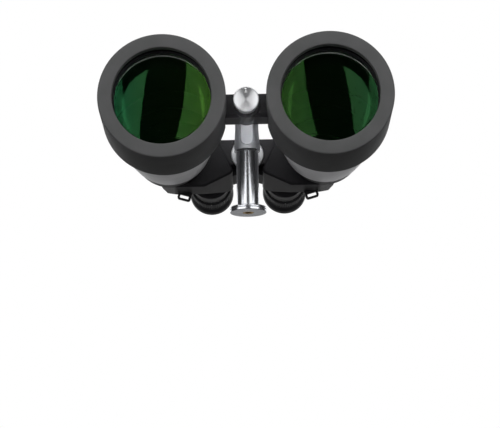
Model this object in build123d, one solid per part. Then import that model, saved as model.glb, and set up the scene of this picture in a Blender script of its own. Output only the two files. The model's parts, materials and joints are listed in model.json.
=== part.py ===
from build123d import *
from math import atan2, cos, degrees, hypot, radians, sin, sqrt
import os

# Porro-prism astronomy binoculars, two halves hinged on one centre rod that slides in a tripod post.
# Millimetres. +X is the user's right, the objectives face -Y, +Z is up.
# The origin is the centre of the post's foot, at the mouth of its tripod thread.

os.makedirs("parts", exist_ok=True)

# ---- driving dimensions: the optical layout ----
ROD_Z = 83.0             # rod axis above the bottom of the foot
OBJECTIVE_X = 68.3       # objective axis from the rod axis
EYE_X = 34.2             # eyepiece axis from the rod axis
EYE_DROP = 12.0          # eyepiece axis below the rod axis
FRONT_Y = -68.0          # front face of the hoods
HOOD_LENGTH = 59.0
TUBE_TAPER_LENGTH = 93.0
NECK_LENGTH = 22.0
FOLD_UP = 19.5           # degrees that each half swings up, eyes wide
FOLD_DOWN = 17.5         # degrees that each half swings down, eyes close

# ---- clearances ----
RUN = 0.05               # radial running clearance of shafts and sliding barrels
GAP = 0.3                # free gap between bodies that pass each other
SKIN = 0.5               # gap round pieces that sit in a pocket

# ---- hood, tube and objective ----
TUBE_SEAT_R = 46.0       # front of the tube, inside the hood
TUBE_SHOULDER_R = TUBE_SEAT_R + 4.0   # tube just behind the hood
TUBE_END_R = 37.0        # tube where it meets the housing neck
TUBE_WALL = 2.6
HOOD_R = TUBE_SEAT_R + 6.0
HOOD_LIP = 6.0
CELL_R = TUBE_SEAT_R - 4.4            # bore that holds the objective
HOOD_MOUTH_R = CELL_R - 1.3
LENS_REST_R = CELL_R - 1.5            # shoulder behind the objective
LENS_R = CELL_R - 0.1
RETAINER_R = CELL_R - 2.0
LENS_DEPTH = 15.0        # front vertex of the objective behind the hood's front face
RETAINER_LEAD = 1.0      # how far the retaining ring stands before the lens vertex
CROWN_THICK = 13.0
FLINT_THICK = 5.0
CROWN_FRONT_CURVE = 200.0
CEMENT_CURVE = -160.0
FLINT_REAR_CURVE = -500.0
REST_WIDTH = 6.6         # length of the shoulder behind the objective
SPIGOT_R = 32.5          # tube's rear thread, inside the neck
SPIGOT_LENGTH = 10.0
SPIGOT_WALL = 2.5
BAFFLE_AT = 70.0         # stray-light baffle behind the hood
BAFFLE_THICK = 1.5
BAFFLE_BORE_R = 29.0

# ---- prism housing ----
NECK_END_R = 33.2
BELLY_INSET = 6.0        # lowest point of the housing, inward of the objective axis
HOUSING_WALL = 2.5
FLOOR_SLOPE = 16.0       # degrees that the underside rises toward the rear
FLOOR_LEAD = 2.0         # the underside starts to rise this far before the shelf's middle
APERTURE_R = 24.0
COVER_THICK = 3.0
HOUSING_MARGIN = 4.5     # outer face of the housing from the prisms' long faces
HOUSING_BEVEL = 1.5
WEB_STEP = 9.5           # the hinge web is set back below this, under the rod axis
WEB_SETBACK = 10.0
PRISM_WIDTH = 24.0
LIGHT_R = 10.5
SHELF_THICK = 3.0
PRISM_ROOM_FRONT = 1.04  # front strap to the housing's front wall
PRISM_ROOM_REAR = 0.54   # rear strap to the rear cover
STRAP_WIDTH = 7.0
STRAP_THICK = 0.4
STRAP_GAP = 0.2
LUG_WIDTH = 12.0
LUG_DROP = 6.5
LUG_THICK = 3.0
LUG_X = 56.5
LUG_TILT = 16.0          # degrees that the loop leans toward the rod
SLOT_WIDTH = 8.0
SLOT_HEIGHT = 3.0
LUG_SLOT_DROP = 1.7      # bar below the slot
SCREW_HEAD_R = 2.4
SCREW_HEAD = 1.6
SCREW_SHANK_R = 1.25
SCREW_LENGTH = 2.6

# ---- rod, hinge and front bridge ----
ROD_R = 7.0
ROD_TAIL = 3.0           # rod beyond the last knuckle, inside the end cap
HUB_R = 11.4
HUB_FRONT_Y = -36.7
HUB_LENGTH = 23.7
ARM_TOP = 9.5
ARM_BOTTOM = 10.5
ARM_CHAMFER = 2.5
ARM_SCREW_R = 2.0
ARM_SCREW_DEPTH = 8.0
ARM_HEAD_R = 3.5
ARM_HEAD = 2.2
ARM_SEAT_WALL = 2.0
DISC_R = 14.6
DISC_THICK = 3.0
DISC_BACK = 19.0         # back of the disc behind the housing's front face
WASHER_R = 12.0
WASHER_THICK = 0.6
KNUCKLE_R = 13.0
KNUCKLES = 4
END_CAP_R = 10.5
END_CAP_LENGTH = 7.0
CAP_FACE_R = 10.7
CAP_RIM = 4.0
CAP_NECK_R = 8.8
CAP_LENGTH = 15.0
CAP_THREAD_R = 5.0
CAP_BACK_Y = -37.0

# ---- post ----
COLUMN_R = 9.25
BLOCK_TOP_R = 9.75
BLOCK_FOOT_R = 10.7
BLOCK_ABOVE = 13.0       # block above the rod axis
BLOCK_BELOW = 31.0       # block below the rod axis
BLOCK_FLARE_FROM = 12.0
BLOCK_FLARE_TO = 26.0
FLAT_WIDTH = 9.7
FLAT_BEVEL = 1.7
FLAT_AT = 6.8
FLAT_END = 27.3
FOOT_R = 15.15
FOOT_THICK = 4.5
FOOT_SPIGOT_R = 6.5
FOOT_SPIGOT = 14.0
INSERT_R = 4.6
INSERT_LENGTH = 10.0
THREAD_R = 2.6           # 1/4 in - 20 tripod thread, at its minor diameter
LOCK_KNOB_R = 7.5
LOCK_KNOB = 8.5
LOCK_SHANK_R = 3.0
LOCK_TIP_GAP = 0.2

# ---- eyepiece ----
BARREL_R = 13.5
BARREL_BORE_R = BARREL_R - 2.0
BASE_R = BARREL_R + 4.0
BASE_LENGTH = 18.0
BASE_NECK_R = BARREL_R + 2.0
BASE_NECK_LENGTH = 18.0
BASE_SPIGOT_R = BARREL_R + 1.5
BARREL_CLEAR = 1.0       # barrel's front from the cover at the end of its travel
BARREL_LENGTH = 35.0
FOCUS_TRAVEL = 3.0
RING_R = BASE_R + 1.8
RING_LENGTH = 19.5
RING_LIP_R = BARREL_R + 0.6
RING_LIP = 1.4
EYECUP_R = RING_R + 1.1
EYECUP_FOOT_R = RING_R - 0.9
EYECUP_LENGTH = 17.0
EYECUP_WALL = 1.9
FIELD_LENS_AT = 3.0
FIELD_LENS_THICK = 6.0
EYE_LENS_THICK = 5.0
EYE_LENS_RECESS = 2.0
EYEPIECE_CURVE = 30.0

# ---- prisms and the room they need ----
# Each prism moves the light by half of its long face, at 45 degrees either side of the whole offset.
OFFSET_ANGLE = atan2(-EYE_DROP, EYE_X - OBJECTIVE_X)
PRISM_HALF = hypot(EYE_X - OBJECTIVE_X, EYE_DROP) / sqrt(2)
REAR_ANGLE = OFFSET_ANGLE - radians(45)
FRONT_ANGLE = OFFSET_ANGLE + radians(45)
PRISM_REACH = PRISM_HALF + STRAP_THICK
SHELF_AT = HOUSING_WALL + PRISM_ROOM_FRONT + PRISM_REACH + SHELF_THICK / 2
FLOOR_FLAT = SHELF_AT - FLOOR_LEAD
HOUSING_LENGTH = SHELF_AT + SHELF_THICK / 2 + PRISM_REACH + PRISM_ROOM_REAR

# ---- stations worked out from the dimensions above ----
HOOD_BACK_Y = FRONT_Y + HOOD_LENGTH
TUBE_END_Y = HOOD_BACK_Y + TUBE_TAPER_LENGTH
HOUSING_Y = TUBE_END_Y + NECK_LENGTH
COVER_Y = HOUSING_Y + HOUSING_LENGTH
COVER_BACK_Y = COVER_Y + COVER_THICK
LENS_Y = FRONT_Y + LENS_DEPTH
DISC_BACK_Y = HOUSING_Y + DISC_BACK
KNUCKLE_Y = DISC_BACK_Y + WASHER_THICK + GAP
HUB_BACK_Y = HUB_FRONT_Y + HUB_LENGTH
SHELF_Y = HOUSING_Y + SHELF_AT - SHELF_THICK / 2
RING_Y = COVER_BACK_Y + BASE_LENGTH + GAP
CUP_Y = RING_Y + RING_LENGTH
ROD_END_Y = COVER_BACK_Y + WASHER_THICK + GAP + ROD_TAIL
REACH = 400.0            # longer than anything here, for cutting tools


def step_from(x, z, angle, distance):
    return (x + distance * cos(angle), z + distance * sin(angle))


REAR_PRISM = (step_from(OBJECTIVE_X, 0, REAR_ANGLE, PRISM_HALF / 2), REAR_ANGLE)
FRONT_PRISM = (step_from(EYE_X, -EYE_DROP, FRONT_ANGLE, -PRISM_HALF / 2), FRONT_ANGLE)
BETWEEN_PRISMS = step_from(OBJECTIVE_X, 0, REAR_ANGLE, PRISM_HALF)


# ---- building blocks ----
def turned(points, x=0.0, z=ROD_Z):
    """Solid of revolution about a line along Y; points are (radius, y)."""
    return Pos(x, 0, z) * revolve(make_face(Polyline(*points, close=True)), axis=Axis.Y)


def rod_along_y(radius, y_from, y_to, x=0.0, z=ROD_Z):
    return turned([(0, y_from), (radius, y_from), (radius, y_to), (0, y_to)], x, z)


def tube_along_y(outer, inner, y_from, y_to, x=0.0, z=ROD_Z):
    return turned([(inner, y_from), (outer, y_from), (outer, y_to), (inner, y_to)], x, z)


def slab(x_from, x_to, y_from, y_to, z_from, z_to):
    size = (x_to - x_from, y_to - y_from, z_to - z_from)
    return Pos(x_from, y_from, z_from) * Box(*size, align=(Align.MIN, Align.MIN, Align.MIN))


def prism_along_y(points, y_from, y_to):
    """Closed (x, z) outline about the rod axis, pushed along Y."""
    plane = Plane(origin=(0, y_from, ROD_Z), x_dir=(1, 0, 0), z_dir=(0, -1, 0))
    return extrude(plane * make_face(Polyline(*points, close=True)), amount=y_from - y_to)


def sag(curve, radius):
    """How far a spherical face with a signed radius has fallen back at the given radius."""
    depth = abs(curve) - sqrt(curve * curve - radius * radius)
    return depth if curve > 0 else -depth


def lens(vertex, thick, front, rear, radius, x, z=ROD_Z):
    """Lens with its front vertex at y = vertex; signed radii, positive when centred behind the face."""
    back = vertex + thick
    front_points = [(r, vertex + sag(front, r)) for r in (0, radius / 2, radius)]
    rear_points = [(r, back + sag(rear, r)) for r in (radius, radius / 2, 0)]
    front_arc = ThreePointArc(*front_points)
    rear_arc = ThreePointArc(*rear_points)
    edge = Line(front_arc @ 1, rear_arc @ 0)
    axis = Line(rear_arc @ 1, front_arc @ 0)
    return Pos(x, 0, z) * revolve(make_face([front_arc, edge, rear_arc, axis]), axis=Axis.Y)


def save(shape, name):
    shape.label = name
    export_step(shape, f"parts/{name}.step")


def on_side(shape, side):
    return shape if side == "right" else mirror(shape, about=Plane.YZ)


# ---- objective end ----
def hood_window():
    """Where the bridge arm passes through the hood, with a gap all round."""
    inner = OBJECTIVE_X - HOOD_R
    return slab(inner - HOOD_LIP, inner + HOOD_R / 2, HUB_FRONT_Y - GAP, HOOD_BACK_Y + GAP,
                ROD_Z - ARM_BOTTOM - GAP, ROD_Z + ARM_TOP + GAP)


def hood():
    body = turned([
        (HOOD_MOUTH_R, FRONT_Y + 1.2), (HOOD_MOUTH_R + 1.2, FRONT_Y), (HOOD_R - 1.5, FRONT_Y),
        (HOOD_R, FRONT_Y + 1.5), (HOOD_R, HOOD_BACK_Y - 1.0), (HOOD_R - 1.0, HOOD_BACK_Y),
        (TUBE_SEAT_R, HOOD_BACK_Y), (TUBE_SEAT_R, FRONT_Y + HOOD_LIP), (HOOD_MOUTH_R, FRONT_Y + HOOD_LIP),
    ], OBJECTIVE_X)
    return body - hood_window()


def lens_back():
    """Where the objective's rear face meets the shoulder behind it."""
    return LENS_Y + CROWN_THICK + FLINT_THICK + sag(FLINT_REAR_CURVE, LENS_REST_R)


def arm_screw_places():
    middle = (lens_back() + REST_WIDTH + HOOD_BACK_Y) / 2
    return [middle - ARM_HEAD_R - 0.7, middle + ARM_HEAD_R + 0.7]


def across(radius, x_from, x_to, y):
    """Rod along X at rod height."""
    return Pos(x_from, y, ROD_Z) * Rot(0, 90, 0) * Cylinder(
        radius, x_to - x_from, align=(Align.CENTER, Align.CENTER, Align.MIN))


def objective_tube():
    rest = lens_back()
    inner_front = TUBE_SEAT_R - TUBE_WALL
    spigot_bore = SPIGOT_R - SPIGOT_WALL
    body = turned([
        (CELL_R, FRONT_Y + HOOD_LIP), (TUBE_SEAT_R, FRONT_Y + HOOD_LIP), (TUBE_SEAT_R, HOOD_BACK_Y),
        (TUBE_SHOULDER_R, HOOD_BACK_Y), (TUBE_END_R, TUBE_END_Y), (SPIGOT_R, TUBE_END_Y),
        (SPIGOT_R, TUBE_END_Y + SPIGOT_LENGTH), (spigot_bore, TUBE_END_Y + SPIGOT_LENGTH),
        (spigot_bore, TUBE_END_Y - TUBE_WALL), (TUBE_END_R - TUBE_WALL, TUBE_END_Y - TUBE_WALL * 2),
        (TUBE_SHOULDER_R - TUBE_WALL, HOOD_BACK_Y + TUBE_WALL), (inner_front, HOOD_BACK_Y),
        (inner_front, rest + REST_WIDTH), (LENS_REST_R, rest + REST_WIDTH), (LENS_REST_R, rest),
        (CELL_R, rest),
    ], OBJECTIVE_X)
    wall_x = OBJECTIVE_X - TUBE_SEAT_R
    for y in arm_screw_places():
        body -= across(ARM_SCREW_R, wall_x - 1, wall_x + ARM_SEAT_WALL, y)
        body -= across(ARM_HEAD_R + 0.1, wall_x + ARM_SEAT_WALL, wall_x + 2 * TUBE_WALL, y)
    return body


def lens_retainer():
    back = LENS_Y + sag(CROWN_FRONT_CURVE, RETAINER_R)
    front = LENS_Y - RETAINER_LEAD
    ring = tube_along_y(CELL_R, RETAINER_R, front, back, OBJECTIVE_X)
    for turn in (0, 90, 180, 270):
        notch = slab(RETAINER_R - 0.5, RETAINER_R + 1.2, front - 0.1, front + 1.2, -1.0, 1.0)
        ring -= Pos(OBJECTIVE_X, 0, ROD_Z) * Rot(0, turn, 0) * notch
    return ring


def objective_crown():
    return lens(LENS_Y, CROWN_THICK, CROWN_FRONT_CURVE, CEMENT_CURVE, LENS_R, OBJECTIVE_X)


def objective_flint():
    return lens(LENS_Y + CROWN_THICK, FLINT_THICK, CEMENT_CURVE, FLINT_REAR_CURVE, LENS_R, OBJECTIVE_X)


def tube_bore_at(y):
    """Inner radius of the tapered tube at a station."""
    front_y = HOOD_BACK_Y + TUBE_WALL
    back_y = TUBE_END_Y - 2 * TUBE_WALL
    share = (y - front_y) / (back_y - front_y)
    return TUBE_SHOULDER_R - TUBE_WALL + share * (TUBE_END_R - TUBE_SHOULDER_R)


def baffle():
    y = HOOD_BACK_Y + BAFFLE_AT
    back = y + BAFFLE_THICK
    return turned([(BAFFLE_BORE_R, y), (tube_bore_at(y), y), (tube_bore_at(back), back),
                   (BAFFLE_BORE_R + 0.8, back)], OBJECTIVE_X)


# ---- prism housing ----
def prism_corner(prism, along, wide):
    """Corner of a prism's long face, with along and wide each -1 or 1."""
    (x, z), angle = prism
    end = step_from(x, z, angle, along * PRISM_HALF)
    return step_from(*end, angle + radians(90), wide * PRISM_WIDTH / 2)


def housing_corners():
    """Corners of the long faces that the housing wraps, and a belly under the objective axis."""
    inner_low = prism_corner(FRONT_PRISM, 1, -1)
    outer_low = prism_corner(FRONT_PRISM, 1, 1)
    rear_low = prism_corner(REAR_PRISM, -1, 1)
    rear_high = prism_corner(REAR_PRISM, -1, -1)
    top = prism_corner(FRONT_PRISM, -1, -1)
    belly = (OBJECTIVE_X - BELLY_INSET, outer_low[1])
    return [inner_low, outer_low, belly, rear_low, rear_high, top]


def outline_solid(y_from, y_to, margin):
    """Rounded outline round both prisms, pushed along Y."""
    face = offset(make_face(Polyline(*housing_corners(), close=True)), margin, kind=Kind.ARC)
    plane = Plane(origin=(0, y_from, ROD_Z), x_dir=(1, 0, 0), z_dir=(0, -1, 0))
    return extrude(plane * face, amount=y_from - y_to)


def rising_floor(lift=0.0):
    """Wedge that slopes the underside up toward the eyepieces."""
    floor_z = ROD_Z + housing_corners()[1][1] - HOUSING_MARGIN + lift
    wedge = Box(REACH, REACH, REACH / 2, align=(Align.CENTER, Align.MIN, Align.MAX))
    return Pos(0, HOUSING_Y + FLOOR_FLAT, floor_z) * Rot(FLOOR_SLOPE, 0, 0) * wedge


def fold_wedge():
    """Everything on the right that stays clear of the other half over the whole fold."""
    top = radians(89.5 - FOLD_UP)
    low = radians(89.5 - FOLD_DOWN)
    points = [(0, 0), (REACH * cos(low), -REACH * sin(low)), (REACH, 0), (REACH * cos(top), REACH * sin(top))]
    return prism_along_y(points, -REACH, REACH)


def knuckle_spans(first):
    """Spans along Y of every second knuckle, from the first or the second."""
    length = (COVER_BACK_Y - KNUCKLE_Y - (KNUCKLES - 1) * GAP) / KNUCKLES
    starts = [KNUCKLE_Y + place * (length + GAP) for place in range(first, KNUCKLES, 2)]
    return [(start, start + length) for start in starts]


def hinge_web():
    """Web between the housing and the rod, hollowed in front for the turned disc."""
    low_x, low_z = housing_corners()[0]
    web_top = KNUCKLE_R
    upper = prism_along_y([(0, web_top), (EYE_X, web_top), (EYE_X, -WEB_STEP), (0, -WEB_STEP)],
                          DISC_BACK_Y - DISC_THICK - 1.0, COVER_BACK_Y)
    low_points = [(0, 0), (EYE_X, 0), (low_x + 4, low_z + 1), (low_x - 3, low_z + 1), (0, -KNUCKLE_R)]
    lower = prism_along_y(low_points, DISC_BACK_Y + WEB_SETBACK, COVER_BACK_Y)
    return upper + lower - rod_along_y(DISC_R + SKIN, FRONT_Y, KNUCKLE_Y)


def place_knuckles(shape, first):
    """Keeps this half's knuckles, and clears the other half's."""
    shape = shape & fold_wedge()
    for y_from, y_to in knuckle_spans(1 - first):
        shape -= rod_along_y(KNUCKLE_R + GAP, y_from - GAP, y_to + GAP)
    for y_from, y_to in knuckle_spans(first):
        shape += rod_along_y(KNUCKLE_R, y_from, y_to)
    return shape - rod_along_y(ROD_R + RUN, -REACH, REACH)


def cover_screw_places():
    """Screw axes just inside the housing wall, each set in from a corner toward the middle."""
    inner_low, outer_low, belly, rear_low, rear_high, top = housing_corners()
    between = [(rear_high, top, 0.35), (rear_high, top, 0.72), (rear_low, rear_high, 0.2),
               (rear_low, rear_high, 0.9), (top, inner_low, 0.14), (top, inner_low, 0.38)]
    return [(a[0] + share * (b[0] - a[0]), a[1] + share * (b[1] - a[1])) for a, b, share in between]


def prism_housing(first):
    neck = turned([(0, TUBE_END_Y), (TUBE_END_R - 0.5, TUBE_END_Y), (NECK_END_R, HOUSING_Y),
                   (NECK_END_R, HOUSING_Y + HOUSING_WALL), (0, HOUSING_Y + HOUSING_WALL)], OBJECTIVE_X)
    neck -= rod_along_y(SPIGOT_R, TUBE_END_Y - 1, TUBE_END_Y + SPIGOT_LENGTH, OBJECTIVE_X)
    neck -= rod_along_y(SPIGOT_R - SPIGOT_WALL, TUBE_END_Y, HOUSING_Y, OBJECTIVE_X)
    block = outline_solid(HOUSING_Y, COVER_Y, HOUSING_MARGIN)
    block = chamfer(block.faces().sort_by(Axis.Y)[0].edges(), HOUSING_BEVEL) - rising_floor()
    shell = place_knuckles(block + hinge_web(), first) + neck
    room = outline_solid(HOUSING_Y + HOUSING_WALL, COVER_Y + 1, HOUSING_MARGIN - HOUSING_WALL)
    shell -= room - rising_floor(HOUSING_WALL)
    boss_r = SCREW_SHANK_R + 1.6
    for x, z in cover_screw_places():
        boss = rod_along_y(boss_r, COVER_Y - SCREW_LENGTH - 1, COVER_Y, x, ROD_Z + z)
        shell += boss & block
        shell -= rod_along_y(SCREW_SHANK_R, COVER_Y - SCREW_LENGTH, COVER_BACK_Y, x, ROD_Z + z)
    aperture = rod_along_y(APERTURE_R, HOUSING_Y - 1, HOUSING_Y + HOUSING_WALL + 1, OBJECTIVE_X)
    plate_zone = outline_solid(HOUSING_Y - 1, HOUSING_Y + HOUSING_WALL + 1, HOUSING_MARGIN - HOUSING_WALL)
    return shell - (aperture & plate_zone) - seal_recess()


def seal_recess():
    """Clears the end of the cover for the web, which runs on past it to the last knuckle."""
    boss = rod_along_y(BASE_R + 1.0 + RUN, COVER_Y, COVER_BACK_Y + 1, EYE_X, ROD_Z - EYE_DROP)
    return outline_solid(COVER_Y, COVER_BACK_Y + 1, HOUSING_MARGIN + RUN) - rising_floor() + boss


def rear_cover():
    plate = outline_solid(COVER_Y, COVER_BACK_Y, HOUSING_MARGIN) - rising_floor()
    plate += rod_along_y(BASE_R + 1.0, COVER_Y, COVER_BACK_Y, EYE_X, ROD_Z - EYE_DROP)
    plate -= rod_along_y(BASE_SPIGOT_R, COVER_Y - 1, COVER_BACK_Y + 1, EYE_X, ROD_Z - EYE_DROP)
    plate -= rod_along_y(KNUCKLE_R + GAP, COVER_Y - 1, COVER_BACK_Y + 1)
    for x, z in cover_screw_places():
        plate -= rod_along_y(SCREW_SHANK_R, COVER_Y - 1, COVER_BACK_Y + 1, x, ROD_Z + z)
    return plate


def cover_screws():
    screws = []
    for x, z in cover_screw_places():
        head = rod_along_y(SCREW_HEAD_R, COVER_BACK_Y, COVER_BACK_Y + SCREW_HEAD, x, ROD_Z + z)
        shank = rod_along_y(SCREW_SHANK_R, COVER_Y - SCREW_LENGTH, COVER_BACK_Y, x, ROD_Z + z)
        recess = Pos(x, COVER_BACK_Y + SCREW_HEAD, ROD_Z + z) * Box(3.4, 1.6, 0.8)
        recess += Pos(x, COVER_BACK_Y + SCREW_HEAD, ROD_Z + z) * Box(0.8, 1.6, 3.4)
        screws.append(head + shank - recess)
    return Compound(children=screws)


def glass_prism(prism, y_face, facing):
    """Right-angle prism on its long face, with its ridge toward facing (-1 or 1) along Y."""
    (x, z), angle = prism
    triangle = make_face(Polyline((-PRISM_HALF, 0), (PRISM_HALF, 0), (0, facing * PRISM_HALF), close=True))
    body = extrude(triangle, amount=PRISM_WIDTH / 2, both=True)
    body = Pos(x, y_face, ROD_Z + z) * Rot(0, -degrees(angle), 0) * body
    return body & outline_solid(HOUSING_Y, COVER_Y, HOUSING_MARGIN - HOUSING_WALL - SKIN)


def prism_strap(prism, y_face, facing):
    """Sprung strap that holds a prism on the shelf, over its ridge and down both cheeks."""
    (x, z), angle = prism
    reach = PRISM_WIDTH / 2 + STRAP_GAP
    top = PRISM_HALF + STRAP_THICK
    outer = Box(STRAP_WIDTH, top, 2 * (reach + STRAP_THICK), align=(Align.CENTER, Align.MIN, Align.CENTER))
    inner = Box(STRAP_WIDTH + 1, PRISM_HALF, 2 * reach, align=(Align.CENTER, Align.MIN, Align.CENTER))
    turn = 0 if facing > 0 else 180
    return Pos(x, y_face, ROD_Z + z) * Rot(0, -degrees(angle), 0) * Rot(0, 0, turn) * (outer - inner)


def prism_shelf():
    plate = outline_solid(SHELF_Y, SHELF_Y + SHELF_THICK, HOUSING_MARGIN - HOUSING_WALL - RUN)
    plate -= rising_floor(HOUSING_WALL + RUN)
    for x, z in [(OBJECTIVE_X, 0), BETWEEN_PRISMS, (EYE_X, -EYE_DROP)]:
        plate -= rod_along_y(LIGHT_R, SHELF_Y - 1, SHELF_Y + SHELF_THICK + 1, x, ROD_Z + z)
    return plate


def strap_lug():
    """Flat tilted loop for a neck strap, under the level part of the housing."""
    floor_z = ROD_Z + housing_corners()[1][1] - HOUSING_MARGIN
    y_back = HOUSING_Y + FLOOR_FLAT - 1
    half = LUG_WIDTH / 2
    plate = slab(-half, half, -LUG_THICK, 0, -LUG_DROP, LUG_DROP)
    plate = fillet(plate.edges().filter_by(Axis.Y).sort_by(Axis.Z)[:2], LUG_DROP / 3)
    slot_top = LUG_SLOT_DROP - LUG_DROP + SLOT_HEIGHT
    plate -= slab(-SLOT_WIDTH / 2, SLOT_WIDTH / 2, -LUG_THICK - 1, 1, slot_top - SLOT_HEIGHT, slot_top)
    plate = Pos(LUG_X, y_back, floor_z) * Rot(0, -LUG_TILT, 0) * plate
    return plate - slab(0, REACH, y_back - REACH, y_back + 1, floor_z, floor_z + REACH)


# ---- eyepiece ----
def eye_turned(points):
    return turned(points, EYE_X, ROD_Z - EYE_DROP)


def eyepiece_base():
    neck_y = COVER_BACK_Y + BASE_LENGTH
    bore = BARREL_R + RUN
    return eye_turned([
        (bore, COVER_Y), (BASE_SPIGOT_R, COVER_Y), (BASE_SPIGOT_R, COVER_BACK_Y), (BASE_R, COVER_BACK_Y),
        (BASE_R, neck_y), (BASE_NECK_R, neck_y), (BASE_NECK_R, neck_y + BASE_NECK_LENGTH),
        (bore, neck_y + BASE_NECK_LENGTH)])


def focus_ring():
    bore = BASE_NECK_R + RUN
    lip_y = CUP_Y - RING_LIP
    return eye_turned([
        (bore, RING_Y), (RING_R - 0.8, RING_Y), (RING_R, RING_Y + 0.8), (RING_R, CUP_Y - 0.8),
        (RING_R - 0.8, CUP_Y), (RING_LIP_R, CUP_Y), (RING_LIP_R, lip_y), (bore, lip_y)])


def barrel_y():
    return COVER_BACK_Y + FOCUS_TRAVEL + BARREL_CLEAR


def eyepiece_barrel():
    y = barrel_y()
    return eye_turned([(BARREL_BORE_R, y), (BARREL_R, y), (BARREL_R, y + BARREL_LENGTH),
                       (BARREL_BORE_R - 1.2, y + BARREL_LENGTH), (BARREL_BORE_R, y + BARREL_LENGTH - 1.2)])


def field_lens():
    return lens(barrel_y() + FIELD_LENS_AT, FIELD_LENS_THICK, EYEPIECE_CURVE, -EYEPIECE_CURVE,
                BARREL_BORE_R, EYE_X, ROD_Z - EYE_DROP)


def eye_lens():
    back = barrel_y() + BARREL_LENGTH - EYE_LENS_RECESS
    return lens(back - EYE_LENS_THICK, EYE_LENS_THICK, EYEPIECE_CURVE, -2 * EYEPIECE_CURVE,
                BARREL_BORE_R, EYE_X, ROD_Z - EYE_DROP)


def eyecup():
    back = CUP_Y + EYECUP_LENGTH
    wall = EYECUP_WALL
    return eye_turned([
        (RING_LIP_R, CUP_Y), (EYECUP_FOOT_R, CUP_Y), (EYECUP_FOOT_R, CUP_Y + 5), (EYECUP_R, CUP_Y + 9),
        (EYECUP_R, back - 0.6), (EYECUP_R - 0.6, back), (EYECUP_R - wall + 0.6, back),
        (EYECUP_R - wall, back - 0.6),
        (EYECUP_R - wall, CUP_Y + 9), (EYECUP_FOOT_R - wall, CUP_Y + 5), (EYECUP_FOOT_R - wall, CUP_Y + 2),
        (RING_LIP_R, CUP_Y + 2)])


# ---- front bridge ----
def front_arm(first):
    """Casting from the rod to the side of the tube; its hub is half of the bridge's depth."""
    half = HUB_LENGTH / 2
    own_from = HUB_FRONT_Y + (0 if first else half + GAP / 2)
    own_to = own_from + half - GAP / 2
    other_from = own_to if first else HUB_FRONT_Y
    other_to = HUB_BACK_Y if first else own_from
    beam = slab(0, OBJECTIVE_X / 2, HUB_FRONT_Y, HUB_BACK_Y, ROD_Z - ARM_BOTTOM, ROD_Z + ARM_TOP)
    beam = chamfer(beam.edges().filter_by(Axis.X).sort_by(Axis.Y)[:2], ARM_CHAMFER)
    beam = beam & fold_wedge()
    beam -= rod_along_y(HUB_R + GAP, other_from, other_to)
    beam += rod_along_y(HUB_R, own_from, own_to)
    beam -= rod_along_y(ROD_R + RUN, -REACH, REACH)
    beam -= rod_along_y(TUBE_SEAT_R, -REACH, REACH, OBJECTIVE_X)
    for y in arm_screw_places():
        beam -= across(ARM_SCREW_R, OBJECTIVE_X - TUBE_SEAT_R - ARM_SCREW_DEPTH, OBJECTIVE_X, y)
    return beam


def arm_screws():
    wall_x = OBJECTIVE_X - TUBE_SEAT_R
    seat_x = wall_x + ARM_SEAT_WALL
    screws = []
    for y in arm_screw_places():
        shank = across(ARM_SCREW_R, wall_x - ARM_SCREW_DEPTH, seat_x, y)
        head = across(ARM_HEAD_R, seat_x, seat_x + ARM_HEAD, y)
        socket_plane = Plane(origin=(seat_x + 0.9, y, ROD_Z), z_dir=(1, 0, 0))
        screws.append(shank + head - extrude(socket_plane * RegularPolygon(1.6, 6), amount=ARM_HEAD))
    return Compound(children=screws)


# ---- rod and its end pieces ----
def centre_rod():
    stud_y = CAP_BACK_Y - CAP_LENGTH / 2
    shoulder_y = CAP_BACK_Y + RUN
    return turned([(0, stud_y), (CAP_THREAD_R - 0.6, stud_y), (CAP_THREAD_R, stud_y + 0.6),
                   (CAP_THREAD_R, shoulder_y), (ROD_R, shoulder_y), (ROD_R, ROD_END_Y), (0, ROD_END_Y)])


def front_cap():
    """Turned knob on the front of the rod: shallow dished face, rim and knurled neck."""
    front = CAP_BACK_Y - CAP_LENGTH
    bore = CAP_THREAD_R + RUN
    bore_y = CAP_BACK_Y - CAP_LENGTH / 2 - 2 * GAP
    return turned([
        (0, front + 0.9), (CAP_FACE_R - 1.2, front), (CAP_FACE_R - 0.5, front), (CAP_FACE_R, front + 0.5),
        (CAP_FACE_R, front + CAP_RIM), (CAP_NECK_R, front + CAP_RIM + 0.6), (CAP_NECK_R, CAP_BACK_Y),
        (bore, CAP_BACK_Y), (bore, bore_y), (0, bore_y)])


def hinge_disc():
    front = DISC_BACK_Y - DISC_THICK
    return turned([(ROD_R, front), (DISC_R - 0.6, front), (DISC_R, front + 0.6), (DISC_R, DISC_BACK_Y),
                   (ROD_R, DISC_BACK_Y)])


def hinge_washers():
    front = tube_along_y(WASHER_R, ROD_R, DISC_BACK_Y, DISC_BACK_Y + WASHER_THICK)
    rear = tube_along_y(WASHER_R, ROD_R, COVER_BACK_Y + GAP, COVER_BACK_Y + GAP + WASHER_THICK)
    return Compound(children=[front, rear])


def hinge_end_cap():
    front = COVER_BACK_Y + GAP + WASHER_THICK
    back = front + END_CAP_LENGTH
    return turned([(ROD_R, front), (END_CAP_R, front), (END_CAP_R, back - 1.5), (END_CAP_R - 1.5, back),
                   (0, back), (0, ROD_END_Y), (ROD_R, ROD_END_Y)])


# ---- post ----
def turned_up(points):
    """Solid of revolution about the post's axis; points are (radius, z)."""
    return revolve(Plane.XZ * make_face(Polyline(*points, close=True)), axis=Axis.Z)


def upright(radius, z_from, height):
    return Pos(0, 0, z_from) * Cylinder(radius, height, align=(Align.CENTER, Align.CENTER, Align.MIN))


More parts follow.
